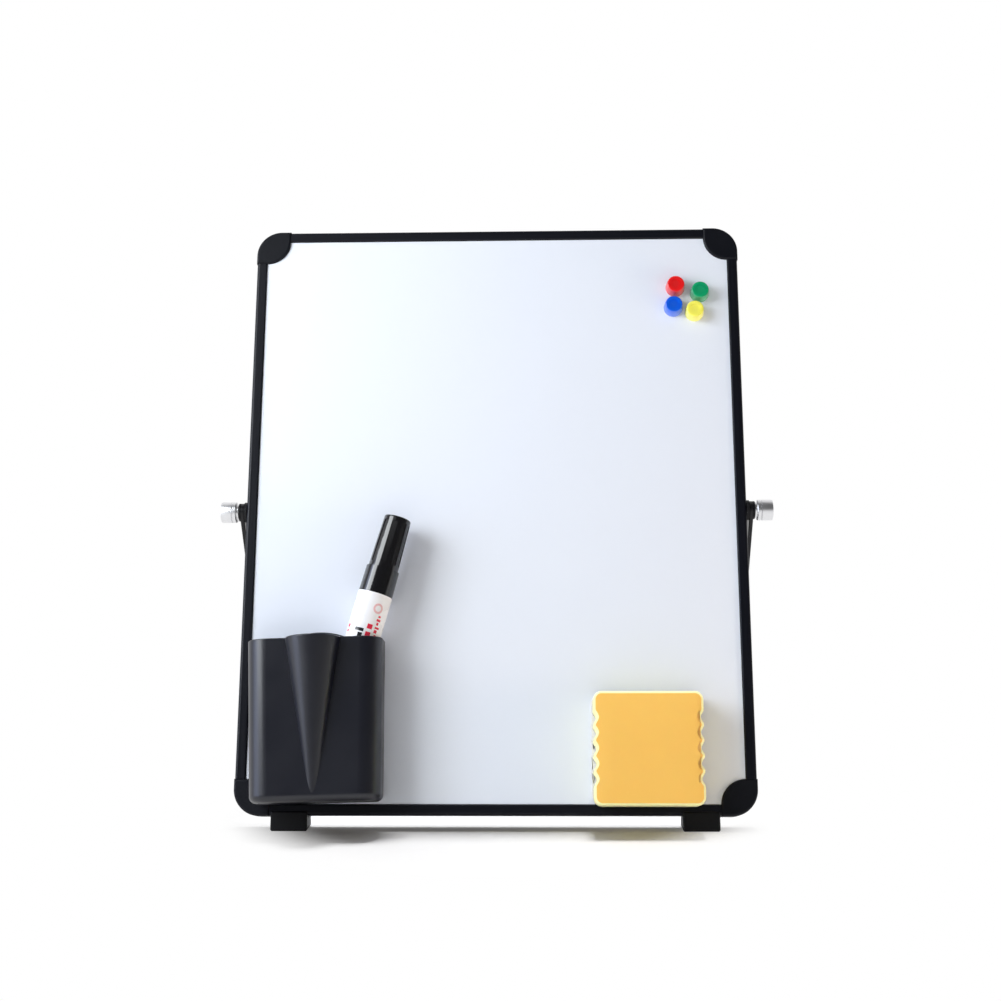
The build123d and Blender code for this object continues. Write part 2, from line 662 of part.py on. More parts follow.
# ---------------------------------------------------------------- round magnets
def round_magnet(name, inward, down):
    """Moulded button, dished in front, with a ferrite disc pressed into its back."""
    seat = on(BOARD, BOARD_W / 2 - inward, BOARD_H / 2 - down, SHEET_AT)
    with BuildPart() as button:
        with BuildSketch(across(seat, 0)):
            with BuildLine():
                Polyline(
                    (0, DISC_T),
                    (DISC_D / 2, DISC_T),
                    (DISC_D / 2, 0),
                    (MAGNET_D / 2, 0),
                    (MAGNET_FACE_D / 2, MAGNET_H),
                    (DISH_D / 2, MAGNET_H),
                    (DISH_D / 2, MAGNET_H - DISH_DEPTH),
                    (0, MAGNET_H - DISH_DEPTH),
                    close=True,
                )
            make_face()
        revolve(axis=Axis(seat.origin, seat.z_dir))
        rim = button.edges().group_by(Axis(seat.origin, seat.z_dir))[-1]
        fillet(rim.sort_by(SortBy.RADIUS)[-1], MAGNET_EDGE)
    finish(button.part, f"magnet_{name}_button")
    with BuildPart() as disc:
        with BuildSketch(seat):
            Circle(DISC_D / 2)
        extrude(amount=DISC_T)
    finish(disc.part, f"magnet_{name}_disc")


for name, inward, down in MAGNET_PLACES:
    round_magnet(name, inward, down)
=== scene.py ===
"""Dresses the desk whiteboard easel: finishes for every part, the soft eraser, and a studio."""
import json
import math

import bmesh
import bpy
from mathutils import Matrix, Vector, noise


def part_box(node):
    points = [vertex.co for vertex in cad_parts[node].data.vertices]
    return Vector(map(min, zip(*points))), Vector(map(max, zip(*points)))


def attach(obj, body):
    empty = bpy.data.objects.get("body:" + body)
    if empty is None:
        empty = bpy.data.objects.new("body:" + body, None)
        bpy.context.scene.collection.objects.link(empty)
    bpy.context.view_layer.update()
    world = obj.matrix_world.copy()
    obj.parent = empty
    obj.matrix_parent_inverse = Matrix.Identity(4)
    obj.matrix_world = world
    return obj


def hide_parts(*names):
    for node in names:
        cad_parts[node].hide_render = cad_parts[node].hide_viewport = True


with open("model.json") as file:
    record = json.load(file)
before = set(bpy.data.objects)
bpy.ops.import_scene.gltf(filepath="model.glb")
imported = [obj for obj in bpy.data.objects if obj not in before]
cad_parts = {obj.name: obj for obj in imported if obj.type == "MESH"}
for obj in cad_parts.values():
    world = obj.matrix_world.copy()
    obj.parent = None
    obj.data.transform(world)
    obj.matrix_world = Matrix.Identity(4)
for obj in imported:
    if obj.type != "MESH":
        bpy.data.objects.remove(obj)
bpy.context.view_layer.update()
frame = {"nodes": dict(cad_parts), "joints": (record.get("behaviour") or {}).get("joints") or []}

bl_info = {
    "name": "Desk Whiteboard Easel",
    "version": (1, 0, 0),
    "blender": (4, 5, 0),
    "location": "3D View > Sidebar > Easel",
    "description": "Finishes, soft pieces and studio for a magnetic desk whiteboard easel",
    "category": "Object",
}

MM = 0.001
SIDES = ("left", "right")
COLOURS = ("red", "green", "blue", "yellow")
WHITE = (1, 1, 1, 1)

# ------------------------------------------------------------------ places, from the frame
JOINTS = {joint["name"]: joint for joint in frame["joints"]}
PIVOT = Vector(JOINTS["stand_swing"]["pos_m"])
OUT = Vector(JOINTS["eraser_lift"]["axis"]).normalized()      # out of the writing side
UP = OUT.cross(Vector((1, 0, 0)))                             # up the board
ALONG_MARKER = Vector(JOINTS["marker_draw"]["axis"]).normalized()


def place(origin, up, out):
    """Matrix of a local frame: X to the side, Y up, Z out."""
    side = up.cross(out)
    turn = Matrix((side, up, out)).transposed().to_4x4()
    return Matrix.Translation(origin) @ turn


BOARD = place(PIVOT, UP, OUT)


PLUG_HALF = 5.0 * MM             # half the length of the marker's end plug
BARREL_RADIUS = 8.4 * MM


def marker_frame():
    """Frame on the marker's axis, at the foot of its end plug."""
    low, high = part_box("marker_end_plug")
    middle = (low + high) / 2
    return place(middle - ALONG_MARKER * PLUG_HALF, ALONG_MARKER, OUT)


MARKER = marker_frame()


# ------------------------------------------------------------------ colour and node helpers
def linear(hex_colour):
    """Scene-linear RGBA of an sRGB hex colour."""
    parts = [int(hex_colour[i:i + 2], 16) / 255 for i in (1, 3, 5)]
    return [c / 12.92 if c <= 0.04045 else ((c + 0.055) / 1.055) ** 2.4 for c in parts] + [1.0]


def opaque(colour, scale=1.0, lift=0.0):
    """RGBA of a colour setting, scaled and then lifted."""
    return [c * scale + lift for c in colour] + [1.0]


def colour_setting(name, description, hex_colour):
    """Colour property whose default is an sRGB hex colour."""
    return bpy.props.FloatVectorProperty(
        name=name,
        description=description,
        subtype="COLOR",
        min=0,
        max=1,
        default=linear(hex_colour)[:3],
    )


def add(tree, kind, inputs=None, **settings):
    """Add a node with its settings, and fill or link its inputs by name or number."""
    made = tree.nodes.new(kind)
    for key, value in settings.items():
        setattr(made, key, value)
    for key, value in (inputs or {}).items():
        if isinstance(value, bpy.types.NodeSocket):
            tree.links.new(value, made.inputs[key])
        else:
            made.inputs[key].default_value = value
    return made


def new_material(name, **settings):
    """A material with one Principled shader, its plain values set on the shader itself."""
    material = bpy.data.materials.new(name)
    material.use_nodes = True
    tree = material.node_tree
    shader = tree.nodes["Principled BSDF"]
    for key, value in settings.items():
        shader.inputs[key.replace("_", " ")].default_value = value
    return material, tree, shader


def coordinates(tree, matrix=None):
    """Object coordinates in metres, or those of a local frame on the object."""
    source = add(tree, "ShaderNodeTexCoord").outputs["Object"]
    if matrix is None:
        return source
    local = add(tree, "ShaderNodeMapping", {"Vector": source}, vector_type="TEXTURE")
    local.inputs["Location"].default_value = matrix.to_translation()
    local.inputs["Rotation"].default_value = matrix.to_euler()
    return local.outputs[0]


def blend(tree, factor, first, second):
    """Colour between two, each a socket or RGBA."""
    return add(
        tree, "ShaderNodeMix", {0: factor, 6: first, 7: second}, data_type="RGBA"
    ).outputs[2]


def spread(tree, value, low, high, at=(0.3, 0.7)):
    """A value stretched over a range; at says which part of it, for a noise its usual span."""
    inputs = {0: value, 1: at[0], 2: at[1], 3: low, 4: high}
    return add(tree, "ShaderNodeMapRange", inputs).outputs[0]


def speckle(tree, vector, size_mm, detail=2.0, stretch=None):
    """Noise whose blotches are about this size; stretch lengthens them along an axis."""
    if stretch:
        scaled = add(tree, "ShaderNodeVectorMath", {0: vector, 1: stretch}, operation="MULTIPLY")
        vector = scaled.outputs[0]
    inputs = {"Vector": vector, "Scale": 1 / (size_mm * MM), "Detail": detail}
    return add(tree, "ShaderNodeTexNoise", inputs).outputs[0]


def distance_from_axis(tree, vector):
    """Length of a vector that has lost its part along the axis."""
    return add(tree, "ShaderNodeVectorMath", {0: vector}, operation="LENGTH").outputs["Value"]


def roughen(tree, shader, height, depth_mm, strength=1.0):
    """Bump of a real depth on the shader."""
    inputs = {"Height": height, "Distance": depth_mm * MM, "Strength": strength}
    bump = add(tree, "ShaderNodeBump", inputs)
    tree.links.new(bump.outputs[0], shader.inputs["Normal"])


def finish_surface(tree, shader, colours, tone, rough, sheen_tone):
    """Colour that varies with one noise, and roughness with the same or another."""
    dark, light = (linear(colour) for colour in colours)
    tree.links.new(blend(tree, tone, dark, light), shader.inputs["Base Color"])
    low, high = rough
    tree.links.new(spread(tree, sheen_tone, low, high), shader.inputs["Roughness"])


def dress(nodes, material):
    """Give CAD nodes a finish."""
    for name in nodes:
        slots = frame["nodes"][name].data.materials
        slots.clear()
        slots.append(material)


def add_object(name, mesh, material, body):
    """Put a finished mesh in the scene, riding on a body."""
    piece = bpy.data.objects.new(name, mesh)
    bpy.context.scene.collection.objects.link(piece)
    mesh.materials.append(material)
    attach(piece, body)
    return piece


# ------------------------------------------------------------------ board
class BoardFinish(bpy.types.PropertyGroup):
    sheet: colour_setting("Sheet", "Colour of the dry-wipe lacquer", "#EDF2FB")
    smear: bpy.props.FloatProperty(
        name="Wiping marks",
        description="How much old wiping strokes change the gloss",
        subtype="FACTOR",
        min=0,
        max=1,
        default=0.3,
    )


def dry_wipe_lacquer(finish):
    """Roller-coated white lacquer on sheet steel: glossy, with soft wiping strokes in the gloss."""
    material, tree, shader = new_material("dry_wipe_lacquer_on_steel", IOR=1.5, Coat_Weight=0.15)
    shader.inputs["Coat Roughness"].default_value = 0.12
    local = coordinates(tree, BOARD)
    strokes = speckle(tree, local, 45, 1, stretch=(0.35, 1, 1))   # a hand's width of wiping
    film = speckle(tree, local, 120, 0)                           # uneven film of old ink
    sheet = blend(tree, film, opaque(finish.sheet, 0.99), opaque(finish.sheet))
    tree.links.new(sheet, shader.inputs["Base Color"])
    gloss = spread(tree, strokes, 0.32 - 0.08 * finish.smear, 0.32 + 0.10 * finish.smear)
    tree.links.new(gloss, shader.inputs["Roughness"])
    orange_peel = speckle(tree, local, 2.5, 0)                    # coating ripple, 2 to 3 mm
    roughen(tree, shader, orange_peel, 0.001)
    return material


def pressed_fibreboard():
    """Fibreboard: brown flecked fibres, of which only a cut edge could ever show."""
    material, tree, shader = new_material("pressed_fibreboard", IOR=1.45)
    fibres = speckle(tree, coordinates(tree), 1.2, 4, stretch=(0.3, 1, 1))
    finish_surface(tree, shader, ("#7A5C3C", "#A98556"), fibres, (0.8, 0.95), fibres)
    roughen(tree, shader, fibres, 0.05)
    return material


class EASEL_OT_board(bpy.types.Operator):
    """Finish the two writing sheets and the core"""

    bl_idname = "easel.board"
    bl_label = "Board panel"

    def execute(self, context):
        lacquer = dry_wipe_lacquer(context.scene.easel_board)
        dress(["writing_sheet_front", "writing_sheet_back"], lacquer)
        dress(["board_core"], pressed_fibreboard())
        return {"FINISHED"}


# ------------------------------------------------------------------ frame
class FrameFinish(bpy.types.PropertyGroup):
    coat: colour_setting("Coating", "Colour of the powder coating on the rails", "#0A0C14")
    grain: bpy.props.FloatProperty(
        name="Coating grain",
        description="Size of the powder coating's ripple in millimetres",
        min=0.2,
        max=3,
        default=0.9,
    )


def powder_coat(name, finish, stretch):
    """Black powder coating on an extrusion: semi-matt, faint ripple, drawn out along the rail."""
    material, tree, shader = new_material(name, IOR=1.5)
    shader.inputs["Specular IOR Level"].default_value = 0.22
    local = coordinates(tree, BOARD)
    ripple = speckle(tree, local, finish.grain)            # real ripple is 0.3 mm, drawn to show
    die_lines = speckle(tree, local, 1.4, 3, stretch=stretch)
    second_tone = opaque(finish.coat, 1.4, 0.001)
    coat = blend(tree, spread(tree, die_lines, 0, 0.6), opaque(finish.coat), second_tone)
    tree.links.new(coat, shader.inputs["Base Color"])
    tree.links.new(spread(tree, die_lines, 0.3, 0.42), shader.inputs["Roughness"])
    roughen(tree, shader, ripple, 0.012)
    return material


def moulded_black(name, colours, rough, grain_mm, depth_mm):
    """Injection-moulded black ABS or nylon: fine eroded grain, slightly greyer on high spots."""
    material, tree, shader = new_material(name, IOR=1.53)
    shader.inputs["Specular IOR Level"].default_value = 0.2
    vector = coordinates(tree)
    grain = speckle(tree, vector, grain_mm, 3)
    handling = speckle(tree, vector, 14, 2)                # hand-sized patches of polish
    finish_surface(tree, shader, colours, grain, rough, handling)
    roughen(tree, shader, grain, depth_mm)
    return material


class EASEL_OT_frame(bpy.types.Operator):
    """Finish the rails, the corner caps and the front feet"""

    bl_idname = "easel.frame"
    bl_label = "Frame and feet"

    def execute(self, context):
        finish = context.scene.easel_frame
        across = powder_coat("powder_coat_rails_across", finish, (0.02, 1, 1))
        upright = powder_coat("powder_coat_rails_upright", finish, (1, 0.02, 1))
        dress(["frame_rail_bottom", "frame_rail_top"], across)
        dress(["frame_rail_left", "frame_rail_right"], upright)
        caps = moulded_black(
            "moulded_abs_corner_caps",
            ("#080A10", "#0F1119"),
            (0.36, 0.48),
            grain_mm=1.0,
            depth_mm=0.02,
        )
        dress([f"corner_cap_{level}_{side}" for level in ("bottom", "top") for side in SIDES], caps)
        feet = moulded_black(
            "moulded_abs_feet", ("#08080A", "#0F0F12"), (0.5, 0.62), grain_mm=1.2, depth_mm=0.03
        )
        dress([f"front_foot_{side}" for side in SIDES], feet)
        return {"FINISHED"}


# ------------------------------------------------------------------ pivots and stand
class MetalFinish(bpy.types.PropertyGroup):
    knob: colour_setting("Knobs", "Colour of the turned aluminium", "#E8E8EA")
    turning: bpy.props.FloatProperty(
        name="Turning marks",
        description="Spacing of the lathe's feed marks in millimetres",
        min=0.1,
        max=3,
        default=1.5,
    )
    neck_radius: bpy.props.FloatProperty(
        name="Neck radius",
        description="Knob's neck beside the arm",
        unit="LENGTH",
        default=4.0 * MM,
    )
    neck_length: bpy.props.FloatProperty(
        name="Neck length",
        description="Neck before the knob's grip",
        unit="LENGTH",
        default=1.2 * MM,
    )
    seam_at: bpy.props.FloatProperty(
        name="Seam place",
        description="From the knob's inner face to its groove",
        unit="LENGTH",
        default=3.0 * MM,
    )
    seam_depth: bpy.props.FloatProperty(
        name="Seam depth", description="Depth of the groove", unit="LENGTH", default=0.4 * MM
    )
    edge: bpy.props.FloatProperty(
        name="Edge",
        description="Rounding of the knob's outer edge",
        unit="LENGTH",
        default=0.6 * MM,
    )


def turned_aluminium(finish):
    """Bright turned aluminium: a blurred mirror, with faint rings of feed marks round its axis."""
    material, tree, shader = new_material("turned_aluminium", Metallic=1.0, Roughness=0.36)
    # feed marks are 0.1 mm apart on the real one, and are drawn coarser to show
    marks = speckle(tree, coordinates(tree), finish.turning, 2, stretch=(1, 0.01, 0.01))
    rings = spread(tree, marks, 0, 1)
    metal = blend(tree, rings, opaque(finish.knob, 0.96), opaque(finish.knob))
    tree.links.new(metal, shader.inputs["Base Color"])
    return material


def zinc_plate():
    """Zinc-plated steel: blue-grey, cloudy."""
    material, tree, shader = new_material("zinc_plated_steel", Metallic=1.0)
    clouds = speckle(tree, coordinates(tree), 1.5, 3)
    finish_surface(tree, shader, ("#8E9298", "#B4B8BC"), clouds, (0.25, 0.45), clouds)
    return material


def plain_brass():
    """Drawn brass: yellow, slightly dulled."""
    material, tree, shader = new_material("drawn_brass", Metallic=1.0)
    clouds = speckle(tree, coordinates(tree), 1.5, 3)
    finish_surface(tree, shader, ("#B08D45", "#D6B56B"), clouds, (0.25, 0.4), clouds)
    return material


def painted_bar():
    """Semi-matt black paint on a bent steel bar: soft gloss, slight ripple."""
    material, tree, shader = new_material("black_painted_steel", IOR=1.5)
    shader.inputs["Specular IOR Level"].default_value = 0.35
    vector = coordinates(tree)
    ripple = speckle(tree, vector, 1.6)
    scuffs = speckle(tree, vector, 5, 4)
    finish_surface(tree, shader, ("#0A0A0D", "#131317"), scuffs, (0.3, 0.42), scuffs)
    roughen(tree, shader, ripple, 0.01)
    return material


def black_rubber():
    """Extruded rubber tube: dull, dusty."""
    material, tree, shader = new_material("extruded_rubber", IOR=1.52)
    shader.inputs["Specular IOR Level"].default_value = 0.3
    dust = speckle(tree, coordinates(tree), 1.0, 4)
    finish_surface(tree, shader, ("#0F0F0F", "#242322"), dust, (0.7, 0.9), dust)
    roughen(tree, shader, dust, 0.02)
    return material


KNOB_FACETS = 96
KNOB_SHARP = math.radians(35)      # edges sharper than this aren't shaded smooth


def knob_profile(finish, length, radius, pocket, pocket_radius):
    """Half section of a thumb knob, as places along its axis and their radii."""
    edge, neck, grip_at = finish.edge, finish.neck_radius, finish.neck_length
    seam, groove = finish.seam_at, radius - finish.seam_depth
    return (
        (pocket, 0), (pocket, pocket_radius), (0, pocket_radius),
        (0, neck - edge / 3), (edge / 3, neck), (grip_at, neck),
        (grip_at, radius - edge / 2), (grip_at + edge / 2, radius),
        (seam, radius), (seam + edge / 3, groove),
        (seam + edge * 2 / 3, groove), (seam + edge, radius),
        (length - edge, radius), (length - edge * 0.3, radius - edge * 0.3),
        (length, radius - edge), (length, 0),
    )


def turned_knob(side, finish, material):
    """Thumb knob as it leaves the lathe: neck, seam, bevelled edges and a pocket for its insert."""
    low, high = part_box(f"knob_{side}")
    insert_low, insert_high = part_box(f"knob_insert_{side}")
    length, radius = high[0] - low[0], (high[2] - low[2]) / 2
    pocket, pocket_radius = insert_high[0] - insert_low[0], (insert_high[2] - insert_low[2]) / 2
    inner_face, outward = (low[0], 1) if side == "right" else (high[0], -1)
    bm = bmesh.new()
    rings = []
    for along, distance in knob_profile(finish, length, radius, pocket, pocket_radius):
        ring = []
        for i in range(KNOB_FACETS if distance else 1):
            turn = 2 * math.pi * i / KNOB_FACETS
            ring.append(bm.verts.new((
                inner_face + outward * along,
                PIVOT.y + distance * math.cos(turn),
                PIVOT.z + distance * math.sin(turn),
            )))
        rings.append(ring)
    for first, second in zip(rings, rings[1:]):
        for i in range(KNOB_FACETS):
            j = (i + 1) % KNOB_FACETS
            corners = [first[i % len(first)], first[j % len(first)]]
            corners += [second[j % len(second)], second[i % len(second)]]
            bm.faces.new(list(dict.fromkeys(corners))).smooth = True
    bmesh.ops.recalc_face_normals(bm, faces=bm.faces)
    mesh = bpy.data.meshes.new(f"knob_{side}_turned")
    bm.to_mesh(mesh)
    bm.free()
    mesh.set_sharp_from_angle(angle=KNOB_SHARP)
    piece = add_object(f"knob_{side}_turned", mesh, material, f"knob_{side}")
    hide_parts(f"knob_{side}")


class EASEL_OT_pivots(bpy.types.Operator):
    """Turn the thumb knobs, and finish the bolts, spacers, washers and inserts"""

    bl_idname = "easel.pivots"
    bl_label = "Pivots and knobs"

    def execute(self, context):
        finish = context.scene.easel_metal
        bright = turned_aluminium(finish)
        for side in SIDES:
            turned_knob(side, finish, bright)
        dress([f"pivot_bolt_{side}" for side in SIDES], zinc_plate())
        dress([f"knob_insert_{side}" for side in SIDES], plain_brass())
        nylon = moulded_black(
            "moulded_nylon_washers",
            ("#0F0F11", "#1B1B1E"),
            (0.45, 0.6),
            grain_mm=0.8,
            depth_mm=0.01,
        )
        rings = [f"{kind}_{side}" for kind in ("pivot_spacer", "knob_washer") for side in SIDES]
        dress(rings, nylon)
        return {"FINISHED"}


class EASEL_OT_stand(bpy.types.Operator):
    """Finish the bent bar and its rubber sleeves"""

    bl_idname = "easel.stand"
    bl_label = "Stand"

    def execute(self, context):
        dress(["stand_bow"], painted_bar())
        dress([f"stand_sleeve_{side}" for side in SIDES], black_rubber())
        return {"FINISHED"}


# ------------------------------------------------------------------ pen cup
class CupFinish(bpy.types.PropertyGroup):
    dark: colour_setting("Plastic", "Colour of the moulded plastic", "#0B0D18")
    grain: bpy.props.FloatProperty(
        name="Mould grain",
        description="Size of the mould's grain in millimetres",
        min=0.2,
        max=3,
        default=0.8,
    )


def grained_polystyrene(finish):
    """Moulded polystyrene from a fine-grained mould: matt, with broad soft highlights."""
    material, tree, shader = new_material("grained_polystyrene_cup", IOR=1.55)
    shader.inputs["Specular IOR Level"].default_value = 0.55
    vector = coordinates(tree)
    grain = speckle(tree, vector, finish.grain, 3)         # real grain is 0.2 mm, drawn to show
    flow = speckle(tree, vector, 22, 2)
    plastic = blend(tree, grain, opaque(finish.dark), opaque(finish.dark, 1.4))
    tree.links.new(plastic, shader.inputs["Base Color"])
    tree.links.new(spread(tree, flow, 0.29, 0.35), shader.inputs["Roughness"])
    roughen(tree, shader, grain, 0.02)
    return material


def ferrite_rubber():
    """Ferrite-filled rubber strip: dull dark brown-grey with fine sheen."""
    material, tree, shader = new_material("ferrite_filled_rubber", IOR=1.6)
    grit = speckle(tree, coordinates(tree), 0.8, 3)
    finish_surface(tree, shader, ("#1E1A18", "#332D2A"), grit, (0.55, 0.75), grit)
    roughen(tree, shader, grit, 0.01)
    return material


class EASEL_OT_pen_cup(bpy.types.Operator):
    """Finish the pen cup and its magnet strips"""

    bl_idname = "easel.pen_cup"
    bl_label = "Pen cup"

    def execute(self, context):
        dress(["pen_cup"], grained_polystyrene(context.scene.easel_cup))
        dress(["cup_magnets"], ferrite_rubber())
        return {"FINISHED"}


# ------------------------------------------------------------------ marker
class MarkerFinish(bpy.types.PropertyGroup):
    barrel: colour_setting("Barrel", "Colour of the barrel's plastic", "#F6F6F8")
    marks: colour_setting("Printed marks", "Colour of the plain printed dashes", "#E0304A")


# plain printed marks: turn round the barrel from its front in degrees, length along it in mm,
# half width in degrees, half length in mm, and whether the mark is dark
PRINTED_MARKS = (
    (50, 87.0, 5, 0.5, False),
    (50, 85.2, 8, 0.6, False),
    (49, 83.4, 4, 0.7, False),
    (52, 81.4, 9, 0.5, False),
    (49, 79.6, 6, 0.8, False),
    (52, 77.5, 5, 0.5, False),
    (25, 81.2, 9, 1.2, False),
    (25, 77.4, 9, 1.1, False),
    (26, 73.8, 8, 1.2, False),
    (-60, 79.8, 7, 0.8, False),
    (-60, 77.2, 6, 0.6, False),
    (-8, 78.8, 16, 0.8, True),
    (-2, 76.2, 8, 1.1, True),
)
PRINTED_RING = (36, 90.6, 2.0, 0.5)      # a loop: its turn, place along, radius and line, in mm


def printed_barrel(finish):
    """Moulded white polypropylene, glossy, with plain printed dashes and a loop below the cap."""
    material, tree, shader = new_material("printed_polypropylene_barrel", IOR=1.49)

    def math_node(operation, *values):
        return add(tree, "ShaderNodeMath", dict(enumerate(values)), operation=operation).outputs[0]

    axes = add(tree, "ShaderNodeSeparateXYZ", {0: coordinates(tree, MARKER)})
    side, length, out = axes.outputs
    turn = math_node("ARCTAN2", side, out)
    inks = {False: 0.0, True: 0.0}
    for at, along, half_turn, half_length, dark in PRINTED_MARKS:
        in_turn = math_node("COMPARE", turn, math.radians(at), math.radians(half_turn))
        in_length = math_node("COMPARE", length, along * MM, half_length * MM)
        inks[dark] = math_node("MULTIPLY_ADD", in_turn, in_length, inks[dark])
    at, along, radius, line = PRINTED_RING
    sideways = math_node("MULTIPLY", math_node("SUBTRACT", turn, math.radians(at)), BARREL_RADIUS)
    upwards = math_node("SUBTRACT", length, along * MM)
    offset = add(tree, "ShaderNodeCombineXYZ", {0: sideways, 1: upwards}).outputs[0]
    distance = distance_from_axis(tree, offset)
    loop = math_node("COMPARE", distance, radius * MM, line * MM)
    flow = speckle(tree, coordinates(tree), 9, 2)
    white = blend(tree, flow, opaque(finish.barrel, 0.98), opaque(finish.barrel))
    faded = opaque(finish.marks, 0.45, 0.5)
    printed = blend(tree, loop, white, faded)
    printed = blend(tree, inks[False], printed, opaque(finish.marks))
    printed = blend(tree, inks[True], printed, linear("#15171C"))
    tree.links.new(printed, shader.inputs["Base Color"])
    tree.links.new(spread(tree, flow, 0.22, 0.32), shader.inputs["Roughness"])
    return material


def polished_polypropylene():
    """Polypropylene from a polished mould: deep black, sharp highlights, faint flow lines."""
    material, tree, shader = new_material("polished_polypropylene", IOR=1.49)
    shader.inputs["Specular IOR Level"].default_value = 0.75
    flow = speckle(tree, coordinates(tree, MARKER), 1.0, 3, stretch=(1, 0.08, 1))
    finish_surface(tree, shader, ("#060608", "#0B0B10"), flow, (0.08, 0.15), flow)
    roughen(tree, shader, flow, 0.003)
    return material


def inked_fibre():
    """Bundled polyester fibre soaked with ink: matt, lined along its length."""
    material, tree, shader = new_material("inked_polyester_fibre", IOR=1.45)
    lines = speckle(tree, coordinates(tree, MARKER), 0.6, 3, stretch=(1, 0.05, 1))
    finish_surface(tree, shader, ("#060608", "#1B1B20"), lines, (0.75, 0.95), lines)
    roughen(tree, shader, lines, 0.03)
    return material


class EASEL_OT_marker(bpy.types.Operator):
    """Finish the marker, its cap and what is inside it"""

    bl_idname = "easel.marker"
    bl_label = "Marker"

    def execute(self, context):
        dress(["marker_barrel"], printed_barrel(context.scene.easel_marker))
        dress(["marker_cap", "marker_end_plug", "marker_neck"], polished_polypropylene())
        dress(["marker_ink_reservoir", "marker_nib"], inked_fibre())
        return {"FINISHED"}


# ------------------------------------------------------------------ eraser
class EraserShape(bpy.types.PropertyGroup):
    face: colour_setting("Foam face", "Colour of the foam's front", "#FFC964")
    # the rim colour is a painted highlight: light caught on and through the foam's rounded edge and
    # sides
    rim: colour_setting("Foam rim", "Colour of the foam's rounded rim and sides", "#FFF9B8")
    corner: bpy.props.FloatProperty(
        name="Corner radius", description="Corner of the block", unit="LENGTH", default=4.0 * MM
    )
    waves: bpy.props.IntProperty(
        name="Waves", description="Notches in each side", min=2, max=12, default=5
    )
    pitch: bpy.props.FloatProperty(
        name="Wave pitch", description="From notch to notch", unit="LENGTH", default=7.2 * MM
    )
    depth: bpy.props.FloatProperty(
        name="Wave depth", description="Depth of a notch", unit="LENGTH", default=1.5 * MM
    )
    rim_radius: bpy.props.FloatProperty(
        name="Rim radius",
        description="Rounding of the foam's front edge",
        unit="LENGTH",
        default=1.4 * MM,
    )
    crown: bpy.props.FloatProperty(
        name="Crown",
        description="How far the foam's face stands proud of its rim",
        unit="LENGTH",
        default=0.12 * MM,
    )


EDGE_STEPS = 24                    # along an upper or lower edge
CORNER_STEPS = 8
WAVE_STEPS = 12
RIM_STEPS = 7


def eraser_outline(shape, width, height):
    """Closed outline with scalloped sides: points and their outward normals, anticlockwise."""
    half_w, half_h, radius = width / 2, height / 2, shape.corner
    flat = width - 2 * radius
    span = shape.waves * shape.pitch / 2
    points = []
    for i in range(EDGE_STEPS + 1):                         # lower edge
        points.append((-half_w + radius + flat * i / EDGE_STEPS, -half_h))
    for side in (1, -1):
        cx, cy = side * (half_w - radius), -side * (half_h - radius)
        for i in range(1, CORNER_STEPS + 1):                # corner into the side
            a = math.radians(-90 * side + 90 * i / CORNER_STEPS)
            points.append((cx + radius * math.cos(a), cy + radius * math.sin(a)))
        count = WAVE_STEPS * shape.waves
        for i in range(count + 1):                          # scalloped side
            t = i / count * 2 - 1
            notch = (1 - math.cos(2 * math.pi * shape.waves * i / count)) / 2
            points.append((side * (half_w - shape.depth * notch), side * t * span))
        cy = side * (half_h - radius)
        for i in range(CORNER_STEPS + 1):                   # corner out of the side
            a = math.radians((0 if side == 1 else 180) + 90 * i / CORNER_STEPS)
            points.append((cx + radius * math.cos(a), cy + radius * math.sin(a)))
        if side == 1:
            for i in range(1, EDGE_STEPS):                  # upper edge
                points.append((half_w - radius - flat * i / EDGE_STEPS, half_h))
            points.append((-half_w + radius, half_h))
    points = [Vector(p) for p in points[:-1]]
    clean = [p for i, p in enumerate(points) if (p - points[i - 1]).length > 1e-6]
    normals = []
    for i in range(len(clean)):
        tangent = clean[(i + 1) % len(clean)] - clean[i - 1]
        normals.append(Vector((tangent.y, -tangent.x)).normalized())
    return clean, normals


def layered_block(name, outline, rings, to_frame, face_ring=None):
    """Close a block from an outline: rings are (inset, height); both ends are filled.

    Faces beyond face_ring take the second material.
    """
    points, normals = outline
    bm = bmesh.new()
    loops = []
    for inset, height in rings:
        loop = []
        for point, normal in zip(points, normals):
            flat = point - normal * inset
            loop.append(bm.verts.new(to_frame @ Vector((flat.x, flat.y, height))))
        loops.append(loop)
    count = len(points)
    for ring, (lower, upper) in enumerate(zip(loops, loops[1:])):
        for i in range(count):
            j = (i + 1) % count
            face = bm.faces.new((lower[i], lower[j], upper[j], upper[i]))
            face.material_index = int(face_ring is not None and ring >= face_ring)
    bm.faces.new(list(reversed(loops[0])))
    front = bm.faces.new(loops[-1])
    front.material_index = int(face_ring is not None)
    bmesh.ops.triangulate(bm, faces=[f for f in bm.faces if len(f.verts) > 4])
    bm.normal_update()
    mesh = bpy.data.meshes.new(name)
    bm.to_mesh(mesh)
    bm.free()
    mesh.shade_smooth()
    return mesh


def node_frame(node):
    """Board frame moved to a node's middle, on its side by the sheet, and the node's size."""
    inverse = BOARD.inverted()
    points = [inverse @ v.co for v in frame["nodes"][node].data.vertices]
    low = Vector([min(p[i] for p in points) for i in range(3)])
    high = Vector([max(p[i] for p in points) for i in range(3)])
    middle = (low + high) / 2
    return BOARD @ Matrix.Translation((middle.x, middle.y, low.z)), high - low


